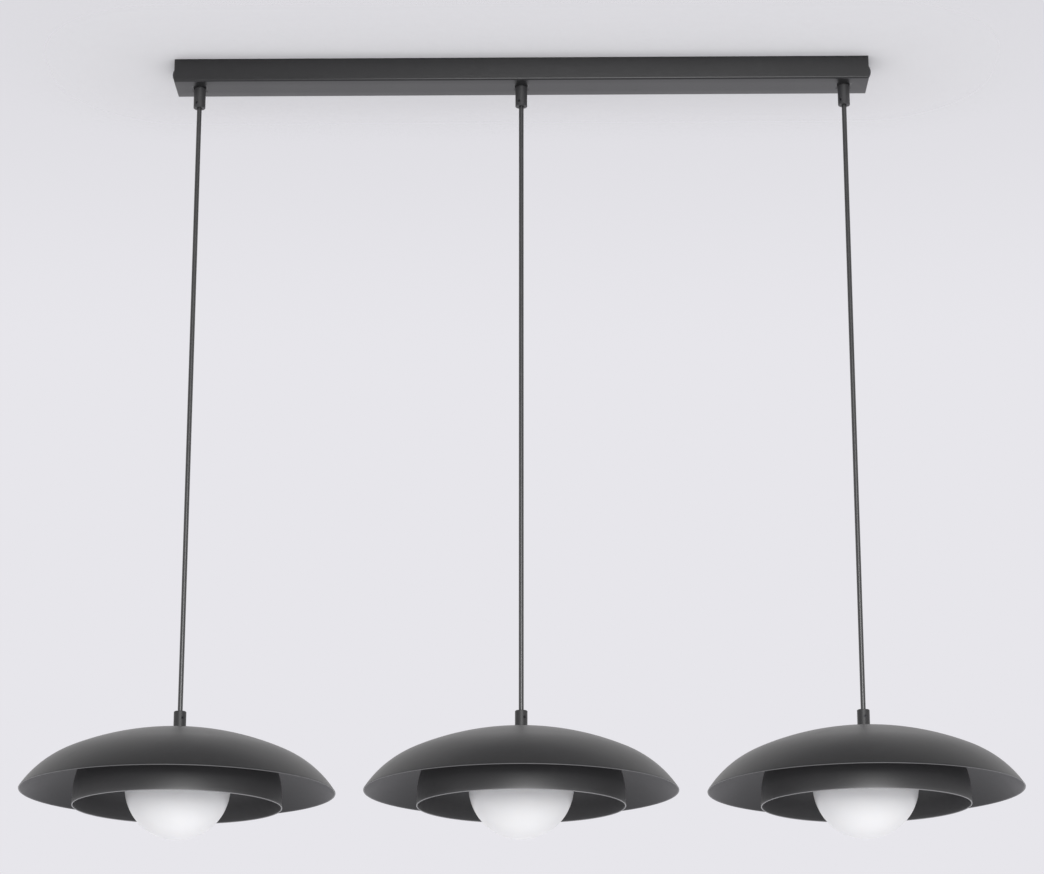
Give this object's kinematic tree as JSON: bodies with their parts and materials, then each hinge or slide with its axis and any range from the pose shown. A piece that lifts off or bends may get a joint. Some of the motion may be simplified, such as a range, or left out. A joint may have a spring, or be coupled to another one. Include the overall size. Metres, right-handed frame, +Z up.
{
  "type": "pendant light",
  "caption": "Linear multi-pendant ceiling light: slim box canopy, straight cords, wide spun domes with nested bowls and opal glass globes.",
  "frame": {"origin": "middle of the ceiling face of the canopy's bracket, at the centre of its two screw slots", "axes": "+X along the canopy towards its right end as seen in the picture, +Y to the back, +Z up into the ceiling"},
  "size_m": [0.952, 0.3, 0.7878],
  "materials": {
    "canopy_paint": "satin black powder coat",
    "shade_paint": "satin black powder coat on spun steel",
    "grip_paint": "satin black coat",
    "black_screws": "black oxide",
    "cord_sheath": "black flexible sheath",
    "zinc_plate": "zinc plated",
    "brass": "bare",
    "ceramic": "fired, unglazed",
    "block_plastic": "moulded",
    "live_insulation": "brown insulation",
    "neutral_insulation": "blue insulation",
    "earth_insulation": "green and yellow insulation",
    "lamp_glass": "frosted capsule",
    "opal_glass": "opal, satin outside"
  },
  "bodies": {
    "canopy": {"canopy_housing": "canopy_paint", "ceiling_bracket": "zinc_plate", "end_screws": "black_screws", "terminal_block": "block_plastic", "terminal_screws": "brass", "earth_screw": "brass", "earth_lead": "earth_insulation", "live_leads": "live_insulation", "neutral_leads": "neutral_insulation", "canopy_lock_nuts": "zinc_plate", "canopy_grub_screws": "black_screws", "left_canopy_grip": "grip_paint", "middle_canopy_grip": "grip_paint", "right_canopy_grip": "grip_paint", "left_cord_tail": "cord_sheath", "middle_cord_tail": "cord_sheath", "right_cord_tail": "cord_sheath"},
    "left_swing": {"left_cord_bend": "cord_sheath"},
    "left_pendant": {"left_cord": "cord_sheath", "left_shade_grip": "grip_paint", "left_shade_grub_screw": "black_screws", "left_nipple": "zinc_plate", "left_outer_shade": "shade_paint", "left_spacer": "grip_paint", "left_inner_shade": "shade_paint", "left_holder_cup": "zinc_plate", "left_lock_nut": "zinc_plate", "left_lampholder": "ceramic", "left_lamp_contacts": "brass"},
    "left_glass": {"left_globe": "opal_glass"},
    "left_bulb": {"left_lamp": "lamp_glass"},
    "middle_swing": {"middle_cord_bend": "cord_sheath"},
    "middle_pendant": {"middle_cord": "cord_sheath", "middle_shade_grip": "grip_paint", "middle_shade_grub_screw": "black_screws", "middle_nipple": "zinc_plate", "middle_outer_shade": "shade_paint", "middle_spacer": "grip_paint", "middle_inner_shade": "shade_paint", "middle_holder_cup": "zinc_plate", "middle_lock_nut": "zinc_plate", "middle_lampholder": "ceramic", "middle_lamp_contacts": "brass"},
    "middle_glass": {"middle_globe": "opal_glass"},
    "middle_bulb": {"middle_lamp": "lamp_glass"},
    "right_swing": {"right_cord_bend": "cord_sheath"},
    "right_pendant": {"right_cord": "cord_sheath", "right_shade_grip": "grip_paint", "right_shade_grub_screw": "black_screws", "right_nipple": "zinc_plate", "right_outer_shade": "shade_paint", "right_spacer": "grip_paint", "right_inner_shade": "shade_paint", "right_holder_cup": "zinc_plate", "right_lock_nut": "zinc_plate", "right_lampholder": "ceramic", "right_lamp_contacts": "brass"},
    "right_glass": {"right_globe": "opal_glass"},
    "right_bulb": {"right_lamp": "lamp_glass"}
  },
  "joints": [
    {"name": "left_swing_front_back", "type": "hinge", "parent": "canopy", "child": "left_swing", "pos_m": [-0.326, 0, -0.045], "axis": [1, 0, 0], "range_deg": [-25, 25]},
    {"name": "left_swing_sideways", "type": "hinge", "parent": "left_swing", "child": "left_pendant", "pos_m": [-0.326, 0, -0.057], "axis": [0, 1, 0], "range_deg": [-2, 20]},
    {"name": "left_globe_turn", "type": "hinge", "parent": "left_pendant", "child": "left_glass", "pos_m": [-0.326, 0, -0.6951], "axis": [0, 0, 1], "range_deg": [-60, 0]},
    {"name": "left_lamp_pull", "type": "slide", "parent": "left_pendant", "child": "left_bulb", "axis": [0, 0, -1], "range_m": [0, 0.012]},
    {"name": "middle_swing_front_back", "type": "hinge", "parent": "canopy", "child": "middle_swing", "pos_m": [0, 0, -0.045], "axis": [1, 0, 0], "range_deg": [-25, 25]},
    {"name": "middle_swing_sideways", "type": "hinge", "parent": "middle_swing", "child": "middle_pendant", "pos_m": [0, 0, -0.057], "axis": [0, 1, 0], "range_deg": [-2, 2]},
    {"name": "middle_globe_turn", "type": "hinge", "parent": "middle_pendant", "child": "middle_glass", "pos_m": [0, 0, -0.6951], "axis": [0, 0, 1], "range_deg": [-60, 0]},
    {"name": "middle_lamp_pull", "type": "slide", "parent": "middle_pendant", "child": "middle_bulb", "axis": [0, 0, -1], "range_m": [0, 0.012]},
    {"name": "right_swing_front_back", "type": "hinge", "parent": "canopy", "child": "right_swing", "pos_m": [0.326, 0, -0.045], "axis": [1, 0, 0], "range_deg": [-25, 25]},
    {"name": "right_swing_sideways", "type": "hinge", "parent": "right_swing", "child": "right_pendant", "pos_m": [0.326, 0, -0.057], "axis": [0, 1, 0], "range_deg": [-20, 2]},
    {"name": "right_globe_turn", "type": "hinge", "parent": "right_pendant", "child": "right_glass", "pos_m": [0.326, 0, -0.6951], "axis": [0, 0, 1], "range_deg": [-60, 0]},
    {"name": "right_lamp_pull", "type": "slide", "parent": "right_pendant", "child": "right_bulb", "axis": [0, 0, -1], "range_m": [0, 0.012]}
  ]
}
